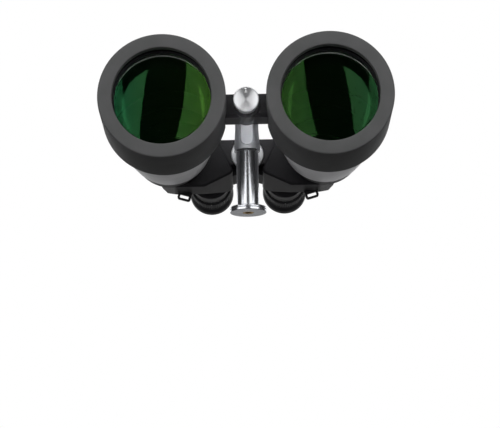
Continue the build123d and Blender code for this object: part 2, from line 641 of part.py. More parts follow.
def front_flat():
    """Cutter for the bevelled flat on the front of the block, with a round lower end."""
    half = FLAT_WIDTH / 2
    wide = half + FLAT_BEVEL
    lip_y = -FLAT_AT - FLAT_BEVEL
    far = -2 * BLOCK_FOOT_R
    end_z = ROD_Z - FLAT_END + wide
    face = make_face(Polyline((-half, -FLAT_AT), (half, -FLAT_AT), (wide, lip_y), (wide, far), (-wide, far),
                              (-wide, lip_y), close=True))
    run = Pos(0, 0, end_z) * extrude(face, amount=BLOCK_ABOVE + FLAT_END + 5)
    round_end = turned([(0, far), (wide, far), (wide, lip_y), (half, -FLAT_AT), (0, -FLAT_AT)], 0, end_z)
    return run + round_end


def tripod_post():
    top = ROD_Z + BLOCK_ABOVE
    foot = ROD_Z - BLOCK_BELOW
    body = turned_up([
        (0, FOOT_THICK), (COLUMN_R, FOOT_THICK), (COLUMN_R, foot - 0.6), (BLOCK_FOOT_R - 0.8, foot),
        (BLOCK_FOOT_R, foot + 0.8), (BLOCK_FOOT_R, ROD_Z - BLOCK_FLARE_TO),
        (BLOCK_TOP_R, ROD_Z - BLOCK_FLARE_FROM), (BLOCK_TOP_R, top - 1), (BLOCK_TOP_R - 1, top), (0, top)])
    body -= rod_along_y(ROD_R + RUN, -REACH, REACH)
    body -= upright(LOCK_SHANK_R + RUN, ROD_Z, REACH)
    body -= upright(FOOT_SPIGOT_R, FOOT_THICK, FOOT_SPIGOT)
    return body - front_flat()


def post_foot():
    spigot_top = FOOT_THICK + FOOT_SPIGOT - SKIN
    flange = turned_up([(0, 0), (FOOT_R - 0.5, 0), (FOOT_R, 0.5), (FOOT_R, FOOT_THICK - 1),
                        (FOOT_R - 1, FOOT_THICK), (FOOT_SPIGOT_R, FOOT_THICK), (FOOT_SPIGOT_R, spigot_top),
                        (0, spigot_top)])
    return flange - upright(INSERT_R, 0, INSERT_LENGTH)


def thread_insert():
    return upright(INSERT_R, 0, INSERT_LENGTH) - upright(THREAD_R, 0, INSERT_LENGTH)


def post_lock_screw():
    seat = ROD_Z + BLOCK_ABOVE + GAP
    top = seat + LOCK_KNOB
    return turned_up([(0, ROD_Z + ROD_R + LOCK_TIP_GAP), (LOCK_SHANK_R, ROD_Z + ROD_R + LOCK_TIP_GAP),
                      (LOCK_SHANK_R, seat), (LOCK_KNOB_R - 0.6, seat), (LOCK_KNOB_R, seat + 0.6),
                      (LOCK_KNOB_R, top - 1), (LOCK_KNOB_R - 1, top), (0, top)])


# ---- build every piece ----
centre_pieces = [centre_rod, front_cap, hinge_disc, hinge_washers, hinge_end_cap,
                 tripod_post, post_foot, thread_insert, post_lock_screw]
for make in centre_pieces:
    save(make(), make.__name__)

side_pieces = [hood, objective_tube, lens_retainer, objective_crown, objective_flint, baffle, rear_cover,
               cover_screws, prism_shelf, strap_lug, arm_screws, eyepiece_base, focus_ring, eyepiece_barrel,
               field_lens, eye_lens, eyecup]
for number, side in enumerate(("left", "right")):
    for make in side_pieces:
        save(on_side(make(), side), f"{side}_{make.__name__}")
    save(on_side(front_arm(number == 0), side), f"{side}_front_arm")
    save(on_side(prism_housing(number), side), f"{side}_prism_housing")
    shelf_back = SHELF_Y + SHELF_THICK
    prisms = [("front", FRONT_PRISM, SHELF_Y, -1), ("rear", REAR_PRISM, shelf_back, 1)]
    for name, prism, y_face, facing in prisms:
        save(on_side(glass_prism(prism, y_face, facing), side), f"{side}_{name}_prism")
        save(on_side(prism_strap(prism, y_face, facing), side), f"{side}_{name}_prism_strap")
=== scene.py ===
# %% [markdown]
# # Astronomy binoculars on a tripod post
# Two big objectives, two prism housings and two eyepieces fold about one steel rod. The rod slides in a
# chrome post that screws to a tripod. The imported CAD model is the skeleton: every size below is read
# from its boxes. Each step says what a piece is on the real object, how it could be made, and why this
# way was chosen.

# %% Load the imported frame
import json
import math
import bmesh
import bpy
from mathutils import Matrix, Vector

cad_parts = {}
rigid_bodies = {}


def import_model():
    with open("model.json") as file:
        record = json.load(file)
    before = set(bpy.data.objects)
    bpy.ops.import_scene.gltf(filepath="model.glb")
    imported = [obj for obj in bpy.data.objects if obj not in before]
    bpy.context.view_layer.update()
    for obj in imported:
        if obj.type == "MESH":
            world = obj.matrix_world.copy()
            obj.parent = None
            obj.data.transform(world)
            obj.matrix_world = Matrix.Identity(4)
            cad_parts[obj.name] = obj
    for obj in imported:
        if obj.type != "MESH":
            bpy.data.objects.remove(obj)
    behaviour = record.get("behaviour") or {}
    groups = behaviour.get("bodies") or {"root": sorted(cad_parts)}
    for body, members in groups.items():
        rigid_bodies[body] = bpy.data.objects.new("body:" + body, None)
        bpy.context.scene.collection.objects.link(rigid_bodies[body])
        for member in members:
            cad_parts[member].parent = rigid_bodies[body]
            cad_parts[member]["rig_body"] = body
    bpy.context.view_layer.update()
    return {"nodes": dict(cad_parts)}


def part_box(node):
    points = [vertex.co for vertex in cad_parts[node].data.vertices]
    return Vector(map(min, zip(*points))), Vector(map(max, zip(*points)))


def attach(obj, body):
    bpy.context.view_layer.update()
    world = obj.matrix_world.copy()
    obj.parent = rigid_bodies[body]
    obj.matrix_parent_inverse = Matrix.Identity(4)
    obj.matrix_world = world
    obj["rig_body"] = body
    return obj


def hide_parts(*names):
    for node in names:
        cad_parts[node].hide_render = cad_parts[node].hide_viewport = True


for leftover in list(bpy.data.objects):
    bpy.data.objects.remove(leftover)
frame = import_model()
nodes = frame["nodes"]
MM = 0.001

# %% [markdown]
# ## The view
# A long lens from about 1.7 metres away keeps both hoods round. The camera stands low in front and looks
# up a little, with a slight roll, as a person would hold it.

# %% Camera
camera_data = bpy.data.cameras.new("camera")
camera_data.sensor_width = 36.0
camera_data.lens = 144.0
camera_data.clip_end = 50.0
camera = bpy.data.objects.new("camera", camera_data)
bpy.context.scene.collection.objects.link(camera)
stand = Matrix.Translation((0.00137, -1.61657, -0.37871))
pitch = Matrix.Rotation(math.radians(90 + 13.15), 4, "X")
roll = Matrix.Rotation(math.radians(-1.1), 4, "Z")
camera.matrix_world = stand @ pitch @ roll
bpy.context.scene.camera = camera
bpy.context.scene.view_settings.view_transform = "Standard"
print("camera:", [round(v, 3) for v in camera.location])

# %% [markdown]
# ## Colour and nodes
# Colours are written as people see them, in sRGB hex, and Blender computes in linear light, so one
# function turns one into the other. One more function adds any node, sets it and links it, which keeps
# every tree below to a few lines.

# %% Helpers for colours and nodes
def linear(hex_code, alpha=1.0):
    """An sRGB hex colour as linear RGBA."""
    parts = [int(hex_code[at:at + 2], 16) / 255 for at in (1, 3, 5)]
    toned = [c / 12.92 if c <= 0.04045 else ((c + 0.055) / 1.055) ** 2.4 for c in parts]
    return (*toned, alpha)


def add_node(tree, kind, inputs=None, **settings):
    """Adds a node. Settings are its own properties; inputs are values, or what to link from.

    That is a socket, or a node whose first output is meant.
    """
    made = tree.nodes.new(kind)
    for key, value in settings.items():
        setattr(made, key, value)
    for key, value in (inputs or {}).items():
        if isinstance(value, bpy.types.Node):
            value = value.outputs[0]
        if isinstance(value, bpy.types.NodeSocket):
            tree.links.new(value, made.inputs[key])
        else:
            made.inputs[key].default_value = value
    return made


def new_finish(name, colour, **constants):
    """A material with one Principled shader; returns it, its tree, the shader and object coordinates."""
    material = bpy.data.materials.new(name)
    material.use_nodes = True
    tree = material.node_tree
    shader = tree.nodes["Principled BSDF"]
    shader.inputs["Base Color"].default_value = linear(colour)
    for key, value in constants.items():
        shader.inputs[key.replace("_", " ")].default_value = value
    place = add_node(tree, "ShaderNodeTexCoord").outputs["Object"]
    return material, tree, shader, place


def grains_per_metre(millimetres):
    """Texture scale for a pattern whose features are this far apart."""
    return 1 / (millimetres * MM)


def grained(tree, shader, place, size_mm, depth_mm, detail=2.0):
    """Gives the surface a soft grain of this size and depth."""
    grain = add_node(tree, "ShaderNodeTexNoise", {"Vector": place, "Scale": grains_per_metre(size_mm),
                                                  "Detail": detail})
    bump = add_node(tree, "ShaderNodeBump", {"Height": grain.outputs["Fac"], "Distance": depth_mm * MM})
    tree.links.new(bump.outputs["Normal"], shader.inputs["Normal"])


def vary_colour(tree, shader, place, size_mm, dark, light):
    """Lets the base colour wander between two tones, as handling and dust do."""
    clouds = add_node(tree, "ShaderNodeTexNoise", {"Vector": place, "Scale": grains_per_metre(size_mm),
                                                   "Detail": 3.0})
    ramp = add_node(tree, "ShaderNodeValToRGB", {"Fac": clouds.outputs["Fac"]})
    ramp.color_ramp.elements[0].position = 0.35
    ramp.color_ramp.elements[0].color = linear(dark)
    ramp.color_ramp.elements[1].position = 0.65
    ramp.color_ramp.elements[1].color = linear(light)
    tree.links.new(ramp.outputs["Color"], shader.inputs["Base Color"])


print("helpers ready; mid grey is", round(linear("#808080")[0], 3), "in linear light")

# %% [markdown]
# ## Finishes: the black and grey coats
# The hoods are aluminium rings with a soft rubberised coat, which scatters light widely and has almost no
# gloss. The tapered tubes have a satin silver-grey enamel with a faint orange-peel. The prism housings
# are cast aluminium with a black wrinkle enamel. All three are a base tone with a little drift, and a
# bump whose grain comes from the real coat. The finest grains would not show from the camera, so they are
# drawn a few tenths of a millimetre wide.

# %% Coats
def rubberised_coat():
    """Soft-touch rubber coat on the hoods: matte, fine-grained, a little lighter where it is rubbed."""
    material, tree, shader, place = new_finish("soft_touch_rubber_coat", "#4b4b4c", Roughness=0.66, IOR=1.5)
    vary_colour(tree, shader, place, 22, "#474848", "#4e4e4f")
    grained(tree, shader, place, 0.5, 0.05)
    return material


def satin_enamel():
    """Sprayed silver-grey enamel on the tubes: satin, with the faint orange-peel of a spray gun."""
    material, tree, shader, place = new_finish("satin_grey_enamel", "#d8d8db", Metallic=0.82,
                                               Roughness=0.43)
    vary_colour(tree, shader, place, 30, "#d2d2d5", "#dddddf")
    grained(tree, shader, place, 1.6, 0.02, detail=1.0)
    return material


def wrinkle_enamel():
    """Black wrinkle enamel on the castings: a net of small soft ridges that breaks up the gloss."""
    material, tree, shader, place = new_finish("black_wrinkle_enamel", "#232226", Roughness=0.5, IOR=1.5)
    vary_colour(tree, shader, place, 26, "#201f23", "#28272b")
    ridges = add_node(tree, "ShaderNodeTexVoronoi", {"Vector": place, "Scale": grains_per_metre(0.9)},
                      feature="SMOOTH_F1")
    bump = add_node(tree, "ShaderNodeBump", {"Height": ridges.outputs["Distance"], "Distance": 0.1 * MM})
    tree.links.new(bump.outputs["Normal"], shader.inputs["Normal"])
    return material


def flock():
    """Black velvet-like paint inside the tubes, there to swallow stray light."""
    material, tree, shader, place = new_finish("black_antiglare_paint", "#060607", Roughness=0.9, IOR=1.3)
    grained(tree, shader, place, 0.4, 0.1)
    return material


def black_anodised():
    """Black anodised aluminium: dense dye under a hard clear oxide, so a tight low sheen."""
    material, tree, shader, place = new_finish("black_anodised_aluminium", "#17171a", Roughness=0.36,
                                               IOR=1.6)
    grained(tree, shader, place, 0.3, 0.01)
    return material


hood_coat = rubberised_coat()
tube_enamel = satin_enamel()
housing_enamel = wrinkle_enamel()
antiglare = flock()
anodised = black_anodised()
print("coats:", len(bpy.data.materials), "materials so far")

# %% [markdown]
# ## Finishes: the metals
# Bare metal has no colour of its own beyond its tint: it shows the room. Chrome is nearly a mirror. A face
# cut on a lathe has fine circular grooves, which pull each highlight into a fan from the centre. The
# shader does that with anisotropy and a tangent that runs round the axis.

# %% Metals
def metal(name, colour, roughness, scratch_mm, scratch_depth_mm):
    """Bare metal with fine handling scratches."""
    material, tree, shader, place = new_finish(name, colour, Metallic=1.0, Roughness=roughness)
    scratches = add_node(tree, "ShaderNodeTexNoise", {"Vector": place, "Scale": grains_per_metre(scratch_mm),
                                                      "Detail": 4.0})
    uneven = add_node(tree, "ShaderNodeMapRange", {"Value": scratches.outputs["Fac"], "From Min": 0.3,
                                                   "From Max": 0.7, "To Min": roughness * 0.8,
                                                   "To Max": roughness * 1.25})
    tree.links.new(uneven.outputs["Result"], shader.inputs["Roughness"])
    bump = add_node(tree, "ShaderNodeBump", {"Height": scratches.outputs["Fac"],
                                             "Distance": scratch_depth_mm * MM})
    tree.links.new(bump.outputs["Normal"], shader.inputs["Normal"])
    return material


WAVE_RADIAN_MM = 0.25
WAVE_FACTOR = 20


def lathe_turned_aluminium(name, roughness, anisotropy):
    """Bright aluminium faced on a lathe, with circular grooves about the rod.

    The wave texture runs through one radian in 1 / WAVE_FACTOR of a unit at scale 1, and a groove is a
    full turn of it, so the grooves are 1.6 mm apart. Real ones are far finer: these are as wide as they
    need to be to show.
    """
    material, tree, shader, place = new_finish(name, "#f3f4f6", Metallic=1.0, Roughness=roughness,
                                               Anisotropic=anisotropy, Anisotropic_Rotation=0.25)
    centred = add_node(tree, "ShaderNodeMapping", {"Vector": place, "Location": (0, 0, -rod_z)})
    waves = grains_per_metre(WAVE_RADIAN_MM) / WAVE_FACTOR
    grooves = add_node(tree, "ShaderNodeTexWave", {"Vector": centred.outputs["Vector"], "Scale": waves,
                                                   "Distortion": 0.4},
                       wave_type="RINGS", rings_direction="Y")
    bump = add_node(tree, "ShaderNodeBump", {"Height": grooves.outputs["Fac"], "Distance": 0.004 * MM})
    tree.links.new(bump.outputs["Normal"], shader.inputs["Normal"])
    around = add_node(tree, "ShaderNodeTangent", direction_type="RADIAL", axis="Y")
    tree.links.new(around.outputs["Tangent"], shader.inputs["Tangent"])
    return material


rod_low, rod_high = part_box("centre_rod")
rod_z = (rod_low.z + rod_high.z) / 2
chrome = metal("polished_chrome_plate", "#dfe1e6", 0.22, 9, 0.002)
turned_aluminium = lathe_turned_aluminium("lathe_turned_aluminium", 0.32, 0.8)
faced_aluminium = lathe_turned_aluminium("coarse_faced_aluminium", 0.7, 0.3)
BLOCK_BELOW_ROD = 31 * MM
SATIN_EDGE = 0.2 * MM


def satin_above(material, height, satin):
    """Bead-blasted satin above a height, where the real post changes from plated tube to machined block."""
    tree = material.node_tree
    shader = tree.nodes["Principled BSDF"]
    polished = shader.inputs["Roughness"].links[0].from_socket
    spot = next(n for n in tree.nodes if n.bl_idname == "ShaderNodeTexCoord").outputs["Object"]
    level = add_node(tree, "ShaderNodeSeparateXYZ", {"Vector": spot}).outputs["Z"]
    zone = add_node(tree, "ShaderNodeMapRange", {"Value": level, "From Min": height,
                                                 "From Max": height + SATIN_EDGE})
    either = add_node(tree, "ShaderNodeMix", {"Factor": zone.outputs["Result"], "A": polished, "B": satin},
                      data_type="FLOAT")
    tree.links.new(either.outputs["Result"], shader.inputs["Roughness"])


satin_above(chrome, rod_z - BLOCK_BELOW_ROD + MM, 0.65)
rod_steel = metal("ground_steel_rod", "#b9bcc2", 0.2, 3, 0.004)
spring_steel = metal("spring_steel_strip", "#8f9298", 0.32, 2, 0.004)
zinc = metal("zinc_plated_steel", "#b4b6ba", 0.3, 1.5, 0.006)
brass = metal("free_cutting_brass", "#c9a45c", 0.28, 2, 0.004)
print("metals ready; the rod axis is at z =", round(rod_z, 4))

# %% [markdown]
# ## Finishes: rubber, plastic and glass
# The focus rings and eyecups are moulded rubber, which is dark, a little dusty and slightly glossy where
# it bends. The prism shelf is glass-filled plastic. The objectives carry a green multilayer coating: the
# glass is nearly clear, and only its mirror image of the room is green, so the tint goes on the
# specular colour and not on the base colour. Across each lens that tint is painted to drift from the outer
# side to the inner side, a painted reflection colour for the coating's change of colour with viewing angle.

# %% Rubber and plastic
def moulded_rubber(name, dark, light, roughness):
    """Moulded rubber with a fine spark-eroded grain and a trace of dust."""
    material, tree, shader, place = new_finish(name, dark, Roughness=roughness, IOR=1.52)
    vary_colour(tree, shader, place, 12, dark, light)
    grained(tree, shader, place, 0.45, 0.04)
    return material


def filled_plastic():
    """Black glass-filled plastic of the prism shelves: dull, with a faint fibre pattern."""
    material, tree, shader, place = new_finish("glass_filled_plastic", "#1d1d20", Roughness=0.55, IOR=1.52)
    stretched = add_node(tree, "ShaderNodeMapping", {"Vector": place, "Scale": (1.0, 1.0, 6.0)})
    grained(tree, shader, stretched.outputs["Vector"], 1.5, 0.02)
    return material


def white_paint():
    """White paint rubbed into the engraved focus marks."""
    material, tree, shader, place = new_finish("white_mark_paint", "#d8d8d4", Roughness=0.5)
    vary_colour(tree, shader, place, 3, "#c4c4c0", "#dcdcd8")
    return material


cup_rubber = moulded_rubber("soft_moulded_rubber", "#232325", "#2b2b2d", 0.45)
grip_rubber = moulded_rubber("ribbed_grip_rubber", "#1a1a1c", "#222224", 0.5)
shelf_plastic = filled_plastic()
mark_paint = white_paint()
print("rubber, plastic and paint:", len(bpy.data.materials), "materials so far")


# %% Glass
def optical_glass(name, index):
    """Polished uncoated optical glass with a trace of haze."""
    material, tree, shader, place = new_finish(name, "#f4f8f4", Transmission_Weight=1.0, Roughness=0.0,
                                               IOR=index)
    haze = add_node(tree, "ShaderNodeTexNoise", {"Vector": place, "Scale": grains_per_metre(14)})
    film = add_node(tree, "ShaderNodeMapRange", {"Value": haze.outputs["Fac"], "To Min": 0.0,
                                                 "To Max": 0.015})
    tree.links.new(film.outputs["Result"], shader.inputs["Roughness"])
    return material, tree, shader, place


# Half-width over which the painted reflection tint drifts across a lens.
PAINTED_TINT_DRIFT_REACH = 40 * MM


def coated_glass(name, index, across_x, left_tint, right_tint, mirror=0.5):
    """Glass under a green multilayer coating. Its reflection tint is painted to drift from one side of the
    lens to the other, a painted reflection colour standing in for the coating's change of colour with viewing
    angle.
    """
    material, tree, shader, place = optical_glass(name, index)
    shader.inputs["Specular IOR Level"].default_value = mirror
    centred = add_node(tree, "ShaderNodeMapping", {"Vector": place, "Location": (-across_x, 0, 0)})
    across = add_node(tree, "ShaderNodeSeparateXYZ", {"Vector": centred.outputs["Vector"]})
    share = add_node(tree, "ShaderNodeMapRange", {"Value": across.outputs["X"], "From Min": -PAINTED_TINT_DRIFT_REACH,
                                                  "From Max": PAINTED_TINT_DRIFT_REACH})
    # Painted reflection colour: the specular tint shifts from one side of the lens to the other.
    tint = add_node(tree, "ShaderNodeValToRGB", {"Fac": share.outputs["Result"]})
    tint.color_ramp.elements[0].color = linear(left_tint)
    tint.color_ramp.elements[1].color = linear(right_tint)
    tree.links.new(tint.outputs["Color"], shader.inputs["Specular Tint"])
    return material


CROWN_INDEX = 1.56
FLINT_INDEX = 1.62
CEMENT_INDEX = 1.02
PRISM_INDEX = 1.569
cement = optical_glass("balsam_cement_layer", CEMENT_INDEX)[0]
prism_glass = optical_glass("prism_glass", PRISM_INDEX)[0]
print("glass: crown", CROWN_INDEX, "flint", FLINT_INDEX)

# %% [markdown]
# ## A lathe made of nodes
# Most of the instrument is turned: hoods, tubes, lenses, rings, cups and the front cap. Such a piece is
# one outline swept round an axis. The Screw modifier or a spin would do it, but a node tree shows the rule:
# a grid has one row for each point of the outline and one column for each step round the axis, and every
# grid point is moved to the outline's radius and height, at its column's angle. Merge by Distance then
# closes the seam and the poles.

# %% The lathe tree
def new_tree(name, *sockets):
    """An empty geometry tree with a Geometry input and the named inputs after it."""
    tree = bpy.data.node_groups.new(name, "GeometryNodeTree")
    tree.interface.new_socket("Geometry", in_out="INPUT", socket_type="NodeSocketGeometry")
    for label, kind in sockets:
        tree.interface.new_socket(label, in_out="INPUT", socket_type="NodeSocket" + kind)
    tree.interface.new_socket("Geometry", in_out="OUTPUT", socket_type="NodeSocketGeometry")
    given = add_node(tree, "NodeGroupInput").outputs
    return tree, given


def end_tree(tree, geometry, finish):
    """Every tree ends in Realize Instances and Set Material."""
    real = add_node(tree, "GeometryNodeRealizeInstances", {"Geometry": geometry})
    dressed = add_node(tree, "GeometryNodeSetMaterial", {"Geometry": real.outputs["Geometry"],
                                                         "Material": finish})
    add_node(tree, "NodeGroupOutput", {"Geometry": dressed.outputs["Geometry"]})


MATH = "ShaderNodeMath"
SEAM = 0.002 * MM
lathe_tree, given = new_tree("turned_on_a_lathe", ("Steps round", "Int"), ("Finish", "Material"))
size = add_node(lathe_tree, "GeometryNodeAttributeDomainSize", {"Geometry": given["Geometry"]})
columns = add_node(lathe_tree, MATH, {0: given["Steps round"], 1: 1.0}, operation="ADD")
grid = add_node(lathe_tree, "GeometryNodeMeshGrid", {"Vertices X": size.outputs["Point Count"],
                                                     "Vertices Y": columns})
index = add_node(lathe_tree, "GeometryNodeInputIndex")
half_past = add_node(lathe_tree, MATH, {0: index, 1: 0.5}, operation="ADD")
rows_passed = add_node(lathe_tree, MATH, {0: half_past, 1: columns}, operation="DIVIDE")
row = add_node(lathe_tree, MATH, {0: rows_passed}, operation="FLOOR")
row_start = add_node(lathe_tree, MATH, {0: row, 1: columns}, operation="MULTIPLY")
column = add_node(lathe_tree, MATH, {0: index, 1: row_start}, operation="SUBTRACT")
spot = add_node(lathe_tree, "GeometryNodeInputPosition").outputs["Position"]
outline = add_node(lathe_tree, "GeometryNodeSampleIndex",
                   {"Geometry": given["Geometry"], "Index": row}, data_type="FLOAT_VECTOR")
lathe_tree.links.new(spot, outline.inputs["Value"])
outline_xyz = add_node(lathe_tree, "ShaderNodeSeparateXYZ", {"Vector": outline.outputs["Value"]}).outputs
share_of_turn = add_node(lathe_tree, MATH, {0: column, 1: given["Steps round"]}, operation="DIVIDE")
angle = add_node(lathe_tree, MATH, {0: share_of_turn, 1: math.tau}, operation="MULTIPLY")
swept_to = {"Z": outline_xyz["Z"]}
for axis, wave in (("X", "COSINE"), ("Y", "SINE")):
    reach = add_node(lathe_tree, MATH, {0: angle}, operation=wave)
    swept_to[axis] = add_node(lathe_tree, MATH, {0: outline_xyz["X"], 1: reach}, operation="MULTIPLY")
swept = add_node(lathe_tree, "ShaderNodeCombineXYZ", swept_to)
moved = add_node(lathe_tree, "GeometryNodeSetPosition", {"Geometry": grid.outputs["Mesh"],
                                                         "Position": swept.outputs["Vector"]})
closed = add_node(lathe_tree, "GeometryNodeMergeByDistance", {"Geometry": moved.outputs["Geometry"],
                                                              "Distance": SEAM})
end_tree(lathe_tree, closed.outputs["Geometry"], given["Finish"])
print("lathe tree:", len(lathe_tree.nodes), "nodes")


# %% Using a tree
def grown(name, tree, start, **values):
    """Runs a tree on a starting mesh and keeps the plain result as an object."""
    piece = bpy.data.objects.new(name, start)
    bpy.context.scene.collection.objects.link(piece)
    modifier = piece.modifiers.new("tree", "NODES")
    modifier.node_group = tree
    wanted = {key.replace("_", " "): value for key, value in values.items()}
    for socket in tree.interface.items_tree:
        if socket.in_out == "INPUT" and socket.name in wanted:
            modifier[socket.identifier] = wanted.pop(socket.name)
    assert not wanted, wanted
    bpy.context.view_layer.update()
    depsgraph = bpy.context.evaluated_depsgraph_get()
    mesh = bpy.data.meshes.new_from_object(piece.evaluated_get(depsgraph))
    mesh.name = name
    mesh.materials.clear()
    mesh.materials.append(values["Finish"])
    for face in mesh.polygons:
        face.material_index = 0
    piece.modifiers.clear()
    piece.data = mesh
    return piece


def tidy_faces(piece, sharp_degrees=32):
    """Points every face outwards and shades it smooth except at real edges."""
    shape = bmesh.new()
    shape.from_mesh(piece.data)
    bmesh.ops.recalc_face_normals(shape, faces=shape.faces)
    shape.to_mesh(piece.data)
    shape.free()
    piece.data.shade_smooth()
    piece.data.set_sharp_from_angle(angle=math.radians(sharp_degrees))
    return piece


ALONG_Y = Matrix.Rotation(math.radians(-90), 4, "X")
ALONG_Z = Matrix.Identity(4)


def on_axis(piece, turn, x, z=0.0):
    """Puts a piece made about local Z onto its own axis; its place goes into its mesh."""
    piece.data.transform(Matrix.Translation((x, 0, z)) @ turn)
    return piece


def softened(points, corner_steps=4):
    """Outline of (radius, along, rounding in mm) points, each corner replaced by a small curve."""
    result = []
    for at, (r, t, rounding) in enumerate(points):
        here = Vector((r, t))
        if rounding == 0:
            result.append(here)
            continue
        before = Vector(points[at - 1][:2])
        after = Vector(points[(at + 1) % len(points)][:2])
        reach = rounding * MM
        first = here + (before - here).normalized() * reach
        last = here + (after - here).normalized() * reach
        for step in range(corner_steps + 1):
            share = step / corner_steps
            result.append(first.lerp(here, share).lerp(here.lerp(last, share), share))
    return result


def turned(name, points, finish, turn=ALONG_Y, x=0.0, z=0.0, ring=False, steps=128):
    """A turned piece. A ring's outline is closed; a solid's runs from the axis back to the axis."""
    outline_points = softened(points)
    if ring:
        outline_points.append(outline_points[0])
    start = bpy.data.meshes.new(name + "_outline")
    start.from_pydata([(p.x, 0, p.y) for p in outline_points], [], [])
    piece = grown(name, lathe_tree, start, Steps_round=steps, Finish=finish)
    return tidy_faces(on_axis(piece, turn, x, z))


def centre_of(node):
    low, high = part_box(node)
    return (low + high) / 2


def radius_of(node):
    low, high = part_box(node)
    return (high.z - low.z) / 2


SIDES = ("left", "right")
axis_x = {side: centre_of(side + "_objective_crown").x for side in SIDES}
print("objective axes at x =", {side: round(x, 4) for side, x in axis_x.items()})


def stands_for(piece, slot, *cad_nodes):
    """The piece rides on the body of the CAD nodes that it replaces, and they are hidden. The slot argument
    is not used.
    """
    body = nodes[cad_nodes[0]]["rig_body"]
    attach(piece, body)
    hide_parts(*cad_nodes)
    return piece


# %% [markdown]
# ## Hoods
# Each hood is a thick ring that screws over the front of its tube and shades the lens. It is plain to
# turn, but its edges are broken by hand on a lathe, and those small rounds catch the light, so the
# outline has rounded corners. A window is milled through its inner side for the arm of the front bridge.
# A boolean with a box, a little larger than the arm, cuts that window.

# %% Turn the hoods and cut their windows
WINDOW_GAP = 0.3 * MM


def box_between(name, low, high):
    """A plain box used only as a cutting tool."""
    shape = bmesh.new()
    bmesh.ops.create_cube(shape, size=1.0)
    spread = Matrix.Diagonal((*(high - low), 1.0))
    bmesh.ops.transform(shape, matrix=Matrix.Translation((low + high) / 2) @ spread, verts=shape.verts)
    mesh = bpy.data.meshes.new(name)
    shape.to_mesh(mesh)
    shape.free()
    tool = bpy.data.objects.new(name, mesh)
    bpy.context.scene.collection.objects.link(tool)
    return tool


def cut(piece, tool):
    """Cuts the tool out of the piece for good, and throws the tool away."""
    modifier = piece.modifiers.new("cut", "BOOLEAN")
    modifier.object = tool
    modifier.operation = "DIFFERENCE"
    modifier.solver = "EXACT"
    bpy.context.view_layer.update()
    mesh = bpy.data.meshes.new_from_object(piece.evaluated_get(bpy.context.evaluated_depsgraph_get()))
    mesh.name = piece.name
    finish = piece.data.materials[0]
    piece.modifiers.clear()
    mesh.materials.clear()
    mesh.materials.append(finish)
    piece.data = mesh
    bpy.data.objects.remove(tool)
    return tidy_faces(piece)


hood_front, hood_back = (corner.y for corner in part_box("right_hood"))
hood_r = radius_of("right_hood")
HOOD_RING_WIDTH = 11.7 * MM
HOOD_WALL = 6 * MM
LIP = 6 * MM
WINDOW_FROM_AXIS = 26 * MM
mouth_r = hood_r - HOOD_RING_WIDTH
seat_r = hood_r - HOOD_WALL
for side in SIDES:
    hood = turned(side + "_hood_ring", [
        (mouth_r, hood_front, 1.2), (hood_r, hood_front, 1.6), (hood_r, hood_back, 1.2),
        (seat_r, hood_back, 0.3), (seat_r, hood_front + LIP, 0.3), (mouth_r, hood_front + LIP, 0.4),
    ], hood_coat, x=axis_x[side], z=rod_z, ring=True, steps=192)
    low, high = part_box(side + "_front_arm")
    low, high = low - Vector.Fill(3, WINDOW_GAP), high + Vector.Fill(3, WINDOW_GAP)
    high.y = hood_back + WINDOW_GAP
    to_rod = -1 if side == "right" else 1
    reaches = (WINDOW_FROM_AXIS, hood_r + LIP)
    low.x, high.x = sorted(axis_x[side] + to_rod * reach for reach in reaches)
    cut(hood, box_between("window_tool", low, high))
    stands_for(hood, "hood_rubber", side + "_hood")
    print(hood.name, len(hood.data.polygons), "faces")

# %% [markdown]
# ## Tubes
# ## Tubes
# Behind the hood each tube tapers from the objective to the prism housing. Its outside is satin enamel,
# its inside black paint, and the bore before the lens is cut into fine anti-glare ridges, which trap light
# that would otherwise fog the view. One outline holds all of it, and the faces that look towards the axis,
# except the flat ends, get the black paint.

# %% Turn the tubes
TUBE_WALL = 2.6 * MM
SPIGOT_LENGTH = 10 * MM
SPIGOT_WALL = 2.5 * MM
REST_LEDGE = 1.5 * MM
REST_WIDTH = 6.6 * MM
tube_front, tube_back = (corner.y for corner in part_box("right_objective_tube"))
shoulder_r = radius_of("right_objective_tube")
retainer_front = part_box("right_lens_retainer")[0].y
cell_r = radius_of("right_lens_retainer")
rest_r = cell_r - REST_LEDGE
flint_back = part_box("right_objective_flint")[1].y
taper_back = tube_back - SPIGOT_LENGTH
taper_r = 37 * MM
spigot_r = 32.5 * MM
RIDGE_PITCH = 1.0 * MM
RIDGE_DEPTH = 0.35 * MM


def ridges(radius, start, end):
    """Saw-tooth outline of anti-glare ridges along a bore."""
    count = int(abs(end - start) / RIDGE_PITCH)
    step = (end - start) / count
    points = []
    for number in range(count):
        points.append((radius, start + number * step, 0))
        points.append((radius + RIDGE_DEPTH, start + (number + 0.5) * step, 0))
    return points


